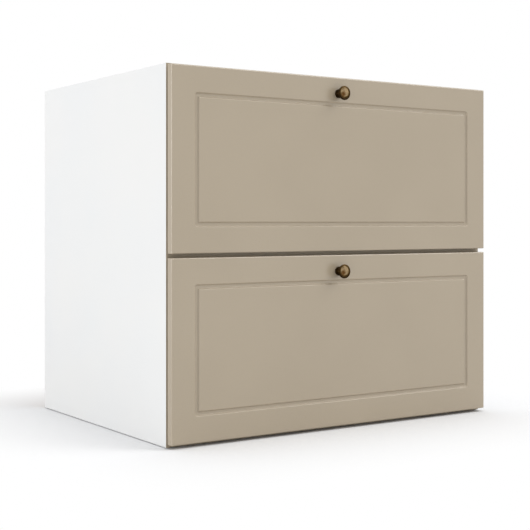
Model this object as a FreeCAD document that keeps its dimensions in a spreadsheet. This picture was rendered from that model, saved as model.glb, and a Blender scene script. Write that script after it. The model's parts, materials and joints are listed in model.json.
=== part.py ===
import FreeCAD, Part
import os
import re
import Sketcher
from FreeCAD import Placement, Rotation, Vector

# Drawer base cabinet: a white board carcass with two slide-out drawers behind routed fronts.
# X runs across the cabinet, -Y is the front and +Z is up. The origin is the middle of the underside.
# Every size below is in millimetres.

SIZES = {
    # carcass boards
    "carcass_width": 800,
    "carcass_height": 720,
    "carcass_depth": 570,
    "board_thickness": 18,
    "edge_band_thickness": 0.8,
    "top_rail_depth": 100,
    "cross_rail_depth": 90,
    "back_thickness": 3,
    "back_inset": 20,
    "back_groove_depth": 8,
    "fit_clearance": 0.2,
    "end_clearance": 0.5,
    # hidden fittings of the carcass corners
    "dowel_margin": 12,
    "fixing_spread": 30,
    "dowel_diameter": 8,
    "dowel_length": 32,
    "dowel_in_side": 12,
    "cam_diameter": 15,
    "cam_height": 12.5,
    "cam_setback": 34,
    "cam_bolt_diameter": 5,
    "cam_bolt_head_diameter": 7,
    "cam_bolt_head_length": 4,
    "cam_bolt_in_side": 11,
    # holes for what the cabinet is fastened to
    "worktop_hole_diameter": 5,
    "worktop_hole_inset": 82,
    "leg_hole_diameter": 10,
    "leg_hole_depth": 12,
    "leg_hole_inset": 82,
    "leg_hole_setback": 105,
    # drawer fronts
    "front_height_difference": 5,
    "front_thickness": 16,
    "front_standoff": 4,
    "front_side_reveal": 0.75,
    "front_top_reveal": 3,
    "front_bottom_reveal": 6,
    "front_spacing": 8,
    "front_edge_radius": 2.5,
    "groove_margin": 50,
    "groove_width": 10,
    "groove_depth": 3,
    "groove_wall_run": 2.6,
    "pad_diameter": 9,
    "pad_margin": 25,
    # knobs
    "knob_drop": 33,
    "knob_shift": 10,
    "knob_head_diameter": 28.8,
    "knob_head_edge": 4,
    "knob_projection": 21.5,
    "knob_base_diameter": 18.5,
    "knob_base_thickness": 3.5,
    "knob_neck_diameter": 11,
    "knob_neck_length": 8,
    "knob_face_diameter": 20.5,
    "knob_face_sink": 1.2,
    "knob_edge_radius": 1.2,
    "knob_screw_diameter": 4,
    "knob_screw_head_diameter": 8,
    "knob_screw_head_height": 2.5,
    "knob_thread_length": 10,
    # drawer boxes
    "box_rise": 26,
    "box_headroom": 85,
    "box_board_thickness": 16,
    "box_bottom_thickness": 6,
    "box_bottom_rise": 10,
    "box_groove_depth": 8,
    # ball bearing runners
    "rail_setback": 3,
    "rear_gap": 44,
    "rail_rise": 60,
    "rail_height": 45,
    "rail_steel": 1.2,
    "rail_lip": 2,
    "runner_width": 12.7,
    "lip_clearance": 2.2,
    "running_gap": 0.2,
    "cage_length": 250,
    "cage_steel": 0.6,
    "ball_diameter": 3.5,
    "ball_play": 0.3,
    "balls_per_track": 5,
    # wood screws
    "screw_diameter": 4,
    "screw_head_diameter": 7,
    "screw_head_height": 1.6,
    "rail_screw_bite": 12,
    "rail_screw_margin": 40,
    "box_screw_length": 45,
    "box_screw_margin": 35,
    "front_screw_bite": 12,
    "front_screw_inset": 100,
    "front_screw_margin": 50,
}

# Places that several pieces share, written with the names above.
FRONT_EDGE = "(-carcass_depth / 2)"
REAR_EDGE = "(carcass_depth / 2)"
INNER_HALF = "(carcass_width / 2 - board_thickness)"
FRONT_BACK = f"({FRONT_EDGE} - front_standoff)"
FRONT_FACE = f"({FRONT_BACK} - front_thickness)"
FRONT_WIDTH = "(carcass_width - 2 * front_side_reveal)"
TOP_RAIL_MIDDLE = "(carcass_depth / 2 - top_rail_depth / 2)"
BACK_FACE = f"({REAR_EDGE} - back_inset - back_thickness)"
RAIL_FRONT = f"({FRONT_EDGE} + rail_setback)"
RAIL_REAR = f"({BACK_FACE} - rear_gap)"
RAIL_LENGTH = f"({RAIL_REAR} - {RAIL_FRONT})"
BOX_HALF = f"({INNER_HALF} - runner_width)"
BOX_LENGTH = f"({RAIL_REAR} - {FRONT_BACK})"
BOX_INNER_HALF = f"({BOX_HALF} - box_board_thickness)"
FRONTS_HEIGHT = "(carcass_height - front_top_reveal - front_spacing - front_bottom_reveal)"
UPPER_FRONT_HEIGHT = f"(({FRONTS_HEIGHT} + front_height_difference) / 2)"
LOWER_FRONT_HEIGHT = f"(({FRONTS_HEIGHT} - front_height_difference) / 2)"
UPPER_FRONT_LOW = f"(carcass_height - front_top_reveal - {UPPER_FRONT_HEIGHT})"
CROSS_RAIL_LOW = f"({UPPER_FRONT_LOW} - front_spacing / 2 - board_thickness / 2)"

# Places in a runner's section: u goes from the side panel to the drawer box, v up from the lower edge.
RACE = "(ball_diameter + 2 * ball_play)"
RAIL_REACH = "(runner_width - lip_clearance)"
CAGE_REACH = f"({RAIL_REACH} - rail_steel - 2 * running_gap)"
OUTER_CAGE_U = "(rail_steel + running_gap)"
OUTER_CAGE_V = f"(rail_steel + {RACE} / 2 - cage_steel / 2)"
MIDDLE_RAIL_U = f"({OUTER_CAGE_U} + cage_steel + running_gap)"
MIDDLE_RAIL_V = f"(rail_steel + {RACE})"
INNER_CAGE_U = f"({MIDDLE_RAIL_U} + rail_steel + running_gap)"
INNER_CAGE_V = f"({MIDDLE_RAIL_V} + {OUTER_CAGE_V})"
DRAWER_RAIL_U = f"({INNER_CAGE_U} + cage_steel + running_gap)"
DRAWER_RAIL_V = f"({MIDDLE_RAIL_V} + {MIDDLE_RAIL_V})"

LEFT = -1
RIGHT = 1
SIDES = {"left": LEFT, "right": RIGHT}
ENDS = {"front": -1, "rear": 1}

# Undersides of the boards that join the side panels, and the ends of each that are fastened.
TOP_LOW = "(carcass_height - board_thickness)"
BOARD_JOINTS = [
    ("bottom", "0", ("front", "rear")),
    ("middle", CROSS_RAIL_LOW, ("front",)),
    ("top", TOP_LOW, ("front", "rear")),
]

# Turns that bring a primitive's own +Z axis onto a row axis.
TURNS = {
    "+x": Rotation(Vector(0, 1, 0), 90),
    "-x": Rotation(Vector(0, 1, 0), -90),
    "+y": Rotation(Vector(1, 0, 0), -90),
    "-y": Rotation(Vector(1, 0, 0), 90),
    "+z": Rotation(),
}
HALF_TURN = Rotation(Vector(0, 0, 1), 180)

doc = FreeCAD.newDocument("drawer_base_cabinet")
sheet = doc.addObject("Spreadsheet::Sheet", "sizes")
sub_parts = []


def fill_sheet():
    """Write each driving size into the sheet, with its name beside it."""
    for row, (name, number) in enumerate(SIZES.items(), start=1):
        sheet.set(f"A{row}", name)
        sheet.set(f"B{row}", str(number))
        sheet.setAlias(f"B{row}", name)
    doc.recompute()


def formula(text):
    """Give a formula of plain size names in the form that the document reads."""
    return re.sub(r"[a-z][a-z_]+", lambda word: "sizes." + word.group(), text)


def tie(item, **formulas):
    """Bind properties of an object to formulas of the driving sizes."""
    for path, text in formulas.items():
        item.setExpression(path, formula(text))


def put(item, x, y, z):
    """Bind the three coordinates of an object's place."""
    for axis, text in (("x", x), ("y", y), ("z", z)):
        item.setExpression(f"Placement.Base.{axis}", formula(text))


def toward(side):
    """Direction from a side panel into the cabinet."""
    return "+x" if side == LEFT else "-x"


def away(side):
    """Direction from the cabinet out through a side panel."""
    return "-x" if side == LEFT else "+x"


def sub_part(item, label):
    """Name a finished piece and keep it for writing."""
    item.Label = label
    sub_parts.append(item)


def block(name, low, size):
    """A square-edged board or cutter from its low corner and its three sizes."""
    box = doc.addObject("Part::Box", name)
    tie(box, Length=size[0], Width=size[1], Height=size[2])
    put(box, *low)
    return box


def pin(name, direction, start, radius, length):
    """A round rod or hole that starts at a point and runs along a row axis."""
    rod = doc.addObject("Part::Cylinder", name)
    rod.Placement = Placement(Vector(), TURNS[direction])
    tie(rod, Radius=radius, Height=length)
    put(rod, *start)
    return rod


def joined(name, pieces):
    """One solid of several touching pieces."""
    union = doc.addObject("Part::MultiFuse", name)
    union.Shapes = pieces
    return union


def group(name, pieces):
    """Several separate solids kept together."""
    compound = doc.addObject("Part::Compound", name)
    compound.Links = pieces
    return compound


def cut(name, base, cutters):
    """A piece with grooves and holes taken out of it."""
    result = doc.addObject("Part::Cut", name)
    result.Base = base
    result.Tool = group(f"{name}_cutters", cutters) if len(cutters) > 1 else cutters[0]
    return result


def screw(name, direction, start, length, extra="0"):
    """A countersunk wood screw whose flat head lies at the start; extra widens it into its hole."""
    head = doc.addObject("Part::Cone", f"{name}_head")
    head.Placement = Placement(Vector(), TURNS[direction])
    tie(
        head,
        Radius1=f"screw_head_diameter / 2 + {extra}",
        Radius2=f"screw_diameter / 2 + {extra}",
        Height="screw_head_height",
    )
    put(head, *start)
    shank = pin(f"{name}_shank", direction, start, f"screw_diameter / 2 + {extra}", f"{length} + {extra}")
    return joined(name, [head, shank])


def screw_set(name, spots, length):
    """Screws at several spots, and the holes that they sit in."""
    screws = []
    holes = []
    for number, (direction, start) in enumerate(spots, start=1):
        screws.append(screw(f"{name}_{number}", direction, start, length))
        holes.append(screw(f"{name}_hole_{number}", direction, start, length, "fit_clearance"))
    sub_part(group(name, screws), name)
    return group(f"{name}_holes", holes)


def constrain_corner(sketch, corner, x, y):
    """Fix one corner of a sketched outline by its two distances from the origin."""
    corner_point = (corner, 1)
    for kind, axis_line, text in (("DistanceX", -2, x), ("DistanceY", -1, y)):
        if text == "0":
            sketch.addConstraint(Sketcher.Constraint("PointOnObject", *corner_point, axis_line))
        else:
            number = sketch.addConstraint(Sketcher.Constraint(kind, -1, 1, *corner_point, 1.0))
            sketch.setExpression(f"Constraints[{number}]", formula(text))


def draw_outline(sketch, corners):
    """Draw a closed outline of straight edges whose corners follow formulas."""
    count = len(corners)
    rough = [Vector(sheet_value(x), sheet_value(y), 0) for x, y in corners]
    for start in range(count):
        sketch.addGeometry(Part.LineSegment(rough[start], rough[(start + 1) % count]), False)
    for start in range(count):
        sketch.addConstraint(Sketcher.Constraint("Coincident", start, 2, (start + 1) % count, 1))
    for start, (x, y) in enumerate(corners):
        constrain_corner(sketch, start, x, y)


def sheet_value(text):
    """Work out a formula of the driving sizes as a number."""
    return float(sheet.evalExpression(formula(text)))


def origin_plane(body, role):
    """One of a body's own base planes."""
    return next(plane for plane in body.Origin.OriginFeatures if plane.Role == role)


def body_sketch(body, name, role):
    """A sketch on one of a body's own base planes."""
    sketch = body.newObject("Sketcher::SketchObject", name)
    sketch.AttachmentSupport = [(origin_plane(body, role), "")]
    sketch.MapMode = "FlatFace"
    return sketch


def circle_edges(shape, spots):
    """Names of the round edges with the given radius and place along Y."""
    names = []
    for number, edge in enumerate(shape.Edges, start=1):
        if not isinstance(edge.Curve, Part.Circle):
            continue
        for radius, along in spots:
            if abs(edge.Curve.Radius - radius) < 1e-6 and abs(edge.Curve.Center.y - along) < 1e-6:
                names.append(f"Edge{number}")
    return names


def dowel_joint(tag, side, end, z):
    """A dowel from a side panel into a board, and the hole that both need."""
    y = f"{end} * ({BACK_FACE} - dowel_margin)"
    outward = f"{side} * ({INNER_HALF} + dowel_in_side"
    inward = toward(side)
    dowel = pin(f"dowel_{tag}", inward, (f"{outward})", y, z), "dowel_diameter / 2", "dowel_length")
    hole = pin(
        f"dowel_hole_{tag}",
        inward,
        (f"{outward} + end_clearance)", y, z),
        "dowel_diameter / 2 + fit_clearance",
        "dowel_length + 2 * end_clearance",
    )
    return dowel, hole


def cam_bolt(tag, side, y, z):
    """A bolt screwed into a side panel, with a head for the cam lock to grip, and its hole."""
    start = (f"{side} * ({INNER_HALF} + cam_bolt_in_side)", y, z)
    head_start = (f"{side} * ({INNER_HALF} - cam_setback + cam_bolt_head_length)", y, z)
    hole_start = (f"{side} * ({INNER_HALF} + cam_bolt_in_side + end_clearance)", y, z)
    inward = toward(side)
    wide = "cam_bolt_head_diameter / 2"
    length = "cam_bolt_in_side + cam_setback"
    pieces = [
        pin(f"bolt_shaft_{tag}", inward, start, "cam_bolt_diameter / 2", length),
        pin(f"bolt_thread_{tag}", inward, start, wide, "cam_bolt_in_side"),
        pin(f"bolt_head_{tag}", inward, head_start, wide, "cam_bolt_head_length"),
    ]
    hole = pin(
        f"bolt_hole_{tag}",
        inward,
        hole_start,
        f"{wide} + fit_clearance",
        f"{length} + 2 * end_clearance",
    )
    return joined(f"bolt_{tag}", pieces), hole


def cam_lock(tag, side, y, low_z, bolt_hole):
    """A round lock let into the underside of a board, and its hole."""
    start = (f"{side} * ({INNER_HALF} - cam_setback)", y, low_z)
    disc = pin(f"lock_disc_{tag}", "+z", start, "cam_diameter / 2", "cam_height")
    hole = pin(
        f"lock_hole_{tag}",
        "+z",
        start,
        "cam_diameter / 2 + fit_clearance",
        "cam_height + end_clearance",
    )
    return cut(f"lock_{tag}", disc, [bolt_hole]), hole


def carcass_fittings():
    """Dowels, cam bolts and cam locks of all board joints; returns the holes that they need."""
    dowels = []
    bolts = []
    locks = []
    holes = []
    for side_name, side in SIDES.items():
        for level, low_z, board_ends in BOARD_JOINTS:
            z = f"{low_z} + board_thickness / 2"
            for end_name in board_ends:
                tag = f"{side_name}_{end_name}_{level}"
                end = ENDS[end_name]
                cam_y = f"{end} * ({BACK_FACE} - dowel_margin - fixing_spread)"
                dowel, dowel_hole = dowel_joint(tag, side, end, z)
                bolt, bolt_hole = cam_bolt(tag, side, cam_y, z)
                lock, lock_hole = cam_lock(tag, side, cam_y, low_z, bolt_hole)
                dowels.append(dowel)
                bolts.append(bolt)
                locks.append(lock)
                holes += [dowel_hole, bolt_hole, lock_hole]
    sub_part(group("dowel_set", dowels), "dowels")
    sub_part(group("cam_bolt_set", bolts), "cam_bolts")
    sub_part(group("cam_lock_set", locks), "cam_locks")
    return holes


def back_block(name, extra):
    """The back panel, or with some extra all round, the groove that it slides into."""
    half = f"({INNER_HALF} + back_groove_depth - fit_clearance + {extra})"
    low_z = f"(board_thickness - back_groove_depth + fit_clearance - {extra})"
    low = (f"-{half}", f"{BACK_FACE} - {extra}", low_z)
    size = (f"2 * {half}", f"back_thickness + 2 * {extra}", f"carcass_height - 2 * {low_z}")
    return block(name, low, size)


def worktop_holes():
    """Holes up through the top rails for the screws that hold a worktop."""
    holes = []
    for side_name, side in SIDES.items():
        for end_name, end in ENDS.items():
            start = (
                f"{side} * ({INNER_HALF} - worktop_hole_inset)",
                f"{end} * {TOP_RAIL_MIDDLE}",
                TOP_LOW,
            )
            name = f"worktop_hole_{side_name}_{end_name}"
            holes.append(pin(name, "+z", start, "worktop_hole_diameter / 2", "board_thickness"))
    return holes


def leg_holes():
    """Blind holes in the underside for the pegs of screw-on legs."""
    holes = []
    for side_name, side in SIDES.items():
        for end_name, end in ENDS.items():
            x = f"{side} * ({INNER_HALF} - leg_hole_inset)"
            start = (x, f"{end} * ({REAR_EDGE} - leg_hole_setback)", "0")
            name = f"leg_hole_{side_name}_{end_name}"
            holes.append(pin(name, "+z", start, "leg_hole_diameter / 2", "leg_hole_depth"))
    return holes


def carcass(runner_holes):
    """The boards of the carcass with their edge bands, grooves and drilled holes."""
    corner_holes = carcass_fittings()
    back_groove = back_block("back_groove", "fit_clearance")
    board_front = f"({FRONT_EDGE} + edge_band_thickness)"
    board_depth = "(carcass_depth - edge_band_thickness)"
    between = f"2 * {INNER_HALF}"
    inner_left = f"-{INNER_HALF}"
    bands = []

    def band(name, x, z, width, height):
        bands.append(block(f"band_{name}", (x, FRONT_EDGE, z), (width, "edge_band_thickness", height)))

    for name, x in (("left", "-carcass_width / 2"), ("right", INNER_HALF)):
        size = ("board_thickness", board_depth, "carcass_height")
        board = block(f"{name}_side_board", (x, board_front, "0"), size)
        band(name, x, "0", "board_thickness", "carcass_height")
        side = cut(f"{name}_side", board, [back_groove, runner_holes] + corner_holes)
        sub_part(side, f"{name}_side_panel")

    size = (between, board_depth, "board_thickness")
    board = block("bottom_board", (inner_left, board_front, "0"), size)
    band("bottom", inner_left, "0", between, "board_thickness")
    sub_part(cut("bottom", board, [back_groove] + leg_holes() + corner_holes), "bottom_panel")

    top_holes = worktop_holes()
    front_rails = (
        ("front_top_rail", TOP_LOW, "top_rail_depth", top_holes + corner_holes),
        ("cross_rail", CROSS_RAIL_LOW, "cross_rail_depth", corner_holes),
    )
    for name, low_z, depth, holes in front_rails:
        size = (between, f"{depth} - edge_band_thickness", "board_thickness")
        board = block(f"{name}_board", (inner_left, board_front, low_z), size)
        band(name, inner_left, low_z, between, "board_thickness")
        sub_part(cut(f"{name}_drilled", board, holes), name)

    low = (inner_left, f"{REAR_EDGE} - top_rail_depth", TOP_LOW)
    board = block("rear_rail_board", low, (between, "top_rail_depth", "board_thickness"))
    sub_part(cut("rear_rail", board, [back_groove] + top_holes + corner_holes), "rear_top_rail")

    sub_part(back_block("back_board", "0"), "back_panel")
    sub_part(group("edge_band_set", bands), "edge_bands")


def channel(u, v, reach, gauge, lip=None):
    """Corners of a sheet metal channel that opens towards +u, with lips turned in where it has them."""
    if lip is None:
        half = [(u, v), (reach, v), (reach, f"{v} + {gauge}"), (f"{u} + {gauge}", f"{v} + {gauge}")]
    else:
        half = [
            (u, v),
            (reach, v),
            (reach, f"{v} + {gauge} + {lip}"),
            (f"{reach} - {gauge}", f"{v} + {gauge} + {lip}"),
            (f"{reach} - {gauge}", f"{v} + {gauge}"),
            (f"{u} + {gauge}", f"{v} + {gauge}"),
        ]
    return half + [(x, f"rail_height - ({y})") for x, y in reversed(half)]


def drawer_channel():
    """Corners of the drawer rail, a channel that opens back towards the side panel."""
    web = "(runner_width - rail_steel)"
    half = [
        ("runner_width", DRAWER_RAIL_V),
        (DRAWER_RAIL_U, DRAWER_RAIL_V),
        (DRAWER_RAIL_U, f"{DRAWER_RAIL_V} + rail_steel"),
        (web, f"{DRAWER_RAIL_V} + rail_steel"),
    ]
    return half + [(x, f"rail_height - ({y})") for x, y in reversed(half)]


def runner_sections():
    """The five sections that every runner is made from, as sketches across the cabinet."""
    outlines = {
        "cabinet_rail": channel("0", "0", RAIL_REACH, "rail_steel", "rail_lip"),
        "outer_cage": channel(OUTER_CAGE_U, OUTER_CAGE_V, CAGE_REACH, "cage_steel"),
        "middle_rail": channel(MIDDLE_RAIL_U, MIDDLE_RAIL_V, RAIL_REACH, "rail_steel", "rail_lip"),
        "inner_cage": channel(INNER_CAGE_U, INNER_CAGE_V, CAGE_REACH, "cage_steel"),
        "drawer_rail": drawer_channel(),
    }
    sections = {}
    for name, corners in outlines.items():
        sketch = doc.addObject("Sketcher::SketchObject", f"{name}_section")
        sketch.Placement = Placement(Vector(), Rotation(Vector(1, 0, 0), 90))
        draw_outline(sketch, corners)
        sections[name] = sketch
    return sections


def strip(name, section, side, low_z, start, length):
    """A length of rail or cage against one side panel, from its section."""
    run = doc.addObject("Part::Extrusion", name)
    run.Base = section
    run.DirMode = "Custom"
    run.Dir = Vector(0, 1, 0)
    run.Solid = True
    tie(run, LengthFwd=length)
    if side == LEFT:
        put(run, f"-{INNER_HALF}", start, low_z)
    else:
        run.Placement = Placement(Vector(), HALF_TURN)
        put(run, INNER_HALF, f"{start} + {length}", low_z)
    return run


def runner_screw_spots(side, low_z, u, direction):
    """Three screws through the web of a rail on one side of the cabinet."""
    x = f"{side} * ({INNER_HALF} - {u})"
    z = f"{low_z} + rail_height / 2"
    rows = (
        f"{RAIL_FRONT} + rail_screw_margin",
        f"({RAIL_FRONT} + {RAIL_REAR}) / 2",
        f"{RAIL_REAR} - rail_screw_margin",
    )
    return [(direction, (x, y, z)) for y in rows]


def ball_track(name, side, low_z, cage_u, cage_v, cage_start):
    """Balls of one cage, in its upper and lower flange, and the round holes that hold them."""
    balls = []
    holes = []
    count = int(sheet.get("balls_per_track"))
    x = f"{side} * ({INNER_HALF} - ({cage_u} + cage_steel + {CAGE_REACH}) / 2)"
    flange_middle = f"({cage_v} + cage_steel / 2)"
    tracks = {"lower": f"{low_z} + {flange_middle}", "upper": f"{low_z} + rail_height - {flange_middle}"}
    for track, z in tracks.items():
        for number in range(1, count + 1):
            tag = f"{name}_{track}_{number}"
            y = f"{cage_start} + cage_length * {number} / {count + 1}"
            ball = doc.addObject("Part::Sphere", f"{tag}_ball")
            tie(ball, Radius="ball_diameter / 2")
            put(ball, x, y, z)
            balls.append(ball)
            hole_start = (x, y, f"{z} - cage_steel")
            radius = "ball_diameter / 2 + ball_play / 2"
            holes.append(pin(f"{tag}_hole", "+z", hole_start, radius, "2 * cage_steel"))
    return balls, holes


def cages(drawer, sections, low_z):
    """Ball cages of both runners of a drawer, with their balls."""
    cage_start = f"(({RAIL_FRONT} + {RAIL_REAR}) / 2 - cage_length / 2)"
    places = {"outer": (OUTER_CAGE_U, OUTER_CAGE_V), "inner": (INNER_CAGE_U, INNER_CAGE_V)}
    for layer, (cage_u, cage_v) in places.items():
        layer_balls = []
        for side_name, side in SIDES.items():
            name = f"{drawer}_{side_name}_{layer}_cage"
            balls, holes = ball_track(name, side, low_z, cage_u, cage_v, cage_start)
            plain = strip(f"{name}_strip", sections[f"{layer}_cage"], side, low_z, cage_start, "cage_length")
            sub_part(cut(f"{name}_drilled", plain, holes), name)
            layer_balls += balls
        sub_part(group(f"{drawer}_{layer}_ball_set", layer_balls), f"{drawer}_{layer}_balls")


def drawer_rails(drawer, sections, low_z):
    """Middle and drawer rails of both runners; returns the holes that the drawer box needs."""
    spots = []
    for side in SIDES.values():
        spots += runner_screw_spots(side, low_z, "(runner_width - rail_steel)", toward(side))
    holes = screw_set(f"{drawer}_rail_screws", spots, "rail_steel + rail_screw_bite")
    for side_name, side in SIDES.items():
        middle = strip(
            f"{drawer}_{side_name}_middle_strip",
            sections["middle_rail"],
            side,
            low_z,
            RAIL_FRONT,
            RAIL_LENGTH,
        )
        sub_part(middle, f"{drawer}_{side_name}_middle_rail")
        plain = strip(
            f"{drawer}_{side_name}_drawer_strip",
            sections["drawer_rail"],
            side,
            low_z,
            RAIL_FRONT,
            RAIL_LENGTH,
        )
        drilled = cut(f"{drawer}_{side_name}_drawer_drilled", plain, [holes])
        sub_part(drilled, f"{drawer}_{side_name}_drawer_rail")
    return holes


def cabinet_rails(sections, rail_lows):
    """Fixed rails of all runners; returns the holes that the side panels need."""
    spots = []
    for low_z in rail_lows.values():
        for side in SIDES.values():
            spots += runner_screw_spots(side, low_z, "rail_steel", away(side))
    holes = screw_set("cabinet_rail_screws", spots, "rail_steel + rail_screw_bite")
    for drawer, low_z in rail_lows.items():
        for side_name, side in SIDES.items():
            name = f"{drawer}_{side_name}_cabinet_rail"
            plain = strip(f"{name}_strip", sections["cabinet_rail"], side, low_z, RAIL_FRONT, RAIL_LENGTH)
            sub_part(cut(f"{name}_drilled", plain, [holes]), name)
    return holes


def rectangle(x, y, width, height):
    """Corners of a sketched rectangle from its low corner."""
    return [(x, y), (f"{x} + {width}", y), (f"{x} + {width}", f"{y} + {height}"), (x, f"{y} + {height}")]


def frame_block(body, kind, name, face_inset, floor_inset, height):
    """A block with sloping sides let into the front's face, or left standing inside the groove."""
    wedge = body.newObject(f"PartDesign::{kind}Wedge", name)
    tie(
        wedge,
        Xmin=floor_inset,
        Xmax=f"{FRONT_WIDTH} - {floor_inset}",
        Zmin=floor_inset,
        Zmax=f"{height} - {floor_inset}",
        Ymin="front_thickness - groove_depth",
        Ymax="front_thickness",
        X2min=face_inset,
        X2max=f"{FRONT_WIDTH} - {face_inset}",
        Z2min=face_inset,
        Z2max=f"{height} - {face_inset}",
    )
    return wedge


def front_panel(drawer, height):
    """A drawer front with a rounded face edge and a groove routed round its field."""
    body = doc.addObject("PartDesign::Body", f"{drawer}_front_body")
    sketch = body_sketch(body, f"{drawer}_front_outline", "XZ_Plane")
    draw_outline(sketch, rectangle("0", "0", FRONT_WIDTH, height))
    pad = body.newObject("PartDesign::Pad", f"{drawer}_front_board")
    pad.Profile = sketch
    pad.Reversed = True
    tie(pad, Length="front_thickness")
    doc.recompute()

    thickness = sheet.get("front_thickness")
    face = next(
        number
        for number, side in enumerate(pad.Shape.Faces, start=1)
        if abs(side.CenterOfMass.y - thickness) < 1e-6
    )
    rounded = body.newObject("PartDesign::Fillet", f"{drawer}_front_rounding")
    rounded.Base = (pad, [f"Face{face}"])
    tie(rounded, Radius="front_edge_radius")
    doc.recompute()

    outer = "groove_margin"
    inner = "(groove_margin + groove_width)"
    frame_block(body, "Subtractive", f"{drawer}_recess", outer, f"({outer} + groove_wall_run)", height)
    field = frame_block(body, "Additive", f"{drawer}_field", inner, f"({inner} - groove_wall_run)", height)
    body.Tip = field
    return body


def knob_body(drawer):
    """A turned knob: a base, a neck and a flat head with a sunk face, bored for its screw."""
    body = doc.addObject("PartDesign::Body", f"{drawer}_knob_body")
    sketch = body_sketch(body, f"{drawer}_knob_outline", "XY_Plane")
    bore = "(knob_screw_diameter / 2 + fit_clearance)"
    bore_end = "(knob_thread_length + end_clearance)"
    neck_end = "(knob_base_thickness + knob_neck_length)"
    corners = [
        (bore, "0"),
        ("knob_base_diameter / 2", "0"),
        ("knob_base_diameter / 2", "knob_base_thickness"),
        ("knob_neck_diameter / 2", "knob_base_thickness"),
        ("knob_neck_diameter / 2", neck_end),
        ("knob_head_diameter / 2", "knob_projection - knob_head_edge"),
        ("knob_head_diameter / 2", "knob_projection"),
        ("knob_face_diameter / 2", "knob_projection"),
        ("knob_face_diameter / 2", "knob_projection - knob_face_sink"),
        ("0", "knob_projection - knob_face_sink"),
        ("0", bore_end),
        (bore, bore_end),
    ]
    draw_outline(sketch, corners)
    turned = body.newObject("PartDesign::Revolution", f"{drawer}_knob_turning")
    turned.Profile = sketch
    turned.ReferenceAxis = (sketch, ["V_Axis"])
    turned.Angle = 360
    doc.recompute()

    head_radius = sheet_value("knob_head_diameter / 2")
    spots = [
        (head_radius, sheet_value("knob_projection")),
        (head_radius, sheet_value("knob_projection - knob_head_edge")),
        (sheet_value("knob_base_diameter / 2"), sheet_value("knob_base_thickness")),
    ]
    rounded = body.newObject("PartDesign::Fillet", f"{drawer}_knob_rounding")
    rounded.Base = (turned, circle_edges(turned.Shape, spots))
    tie(rounded, Radius="knob_edge_radius")
    body.Tip = rounded
    return body


def knob_and_screw(drawer, front_top):
    """The knob on a front's face and the screw that holds it from behind; returns the screw's hole."""
    x = "-knob_shift"
    z = f"{front_top} - knob_drop"
    knob = knob_body(drawer)
    knob.Placement = Placement(Vector(), HALF_TURN)
    put(knob, x, FRONT_FACE, z)
    sub_part(knob, f"{drawer}_knob")

    head_start = (x, f"{FRONT_BACK} + knob_screw_head_height", z)
    shank_length = "knob_screw_head_height + front_thickness + knob_thread_length"
    pieces = [
        pin(
            f"{drawer}_knob_screw_head",
            "-y",
            head_start,
            "knob_screw_head_diameter / 2",
            "knob_screw_head_height",
        ),
        pin(f"{drawer}_knob_screw_shank", "-y", head_start, "knob_screw_diameter / 2", shank_length),
    ]
    sub_part(joined(f"{drawer}_knob_screw_solid", pieces), f"{drawer}_knob_screw")
    radius = "knob_screw_diameter / 2 + fit_clearance"
    return pin(f"{drawer}_knob_hole", "-y", (x, FRONT_BACK, z), radius, "front_thickness")


def front_screw_spots(box_low, box_height):
    """Four screws from inside the drawer box into its front."""
    y = f"{FRONT_BACK} + box_board_thickness"
    heights = ("front_screw_margin", f"{box_height} - front_screw_margin")
    return [
        ("-y", (f"{side} * ({BOX_INNER_HALF} - front_screw_inset)", y, f"{box_low} + {height}"))
        for side in SIDES.values()
        for height in heights
    ]


def box_screw_spots(box_low, box_height):
    """Screws from the outside of the box sides into the ends of its front and back."""
    heights = ("box_screw_margin", f"{box_height} / 2", f"{box_height} - box_screw_margin")
    rows = (f"{FRONT_BACK} + box_board_thickness / 2", f"{RAIL_REAR} - box_board_thickness / 2")
    return [
        (toward(side), (f"{side} * {BOX_HALF}", y, f"{box_low} + {height}"))
        for side in SIDES.values()
        for y in rows
        for height in heights
    ]


def box_bottom_block(name, box_low, extra):
    """The bottom of a drawer box, or with some extra all round, the groove that holds it."""
    half = f"({BOX_INNER_HALF} + box_groove_depth - fit_clearance + {extra})"
    front = f"({FRONT_BACK} + box_board_thickness - box_groove_depth + fit_clearance - {extra})"
    rear = f"({RAIL_REAR} - box_board_thickness + box_groove_depth - fit_clearance + {extra})"
    low = (f"-{half}", front, f"{box_low} + box_bottom_rise - {extra}")
    return block(name, low, (f"2 * {half}", f"{rear} - {front}", f"box_bottom_thickness + 2 * {extra}"))


def bumper_pads(drawer, front_low, front_height):
    """Round pads between a front and the edges of the side panels."""
    heights = {"low": f"{front_low} + pad_margin", "high": f"{front_low} + {front_height} - pad_margin"}
    pads = []
    for side_name, side in SIDES.items():
        for height_name, z in heights.items():
            start = (f"{side} * (carcass_width / 2 - board_thickness / 2)", FRONT_BACK, z)
            name = f"{drawer}_pad_{side_name}_{height_name}"
            pads.append(pin(name, "+y", start, "pad_diameter / 2", "front_standoff"))
    sub_part(group(f"{drawer}_pads", pads), f"{drawer}_bumper_pads")


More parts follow.
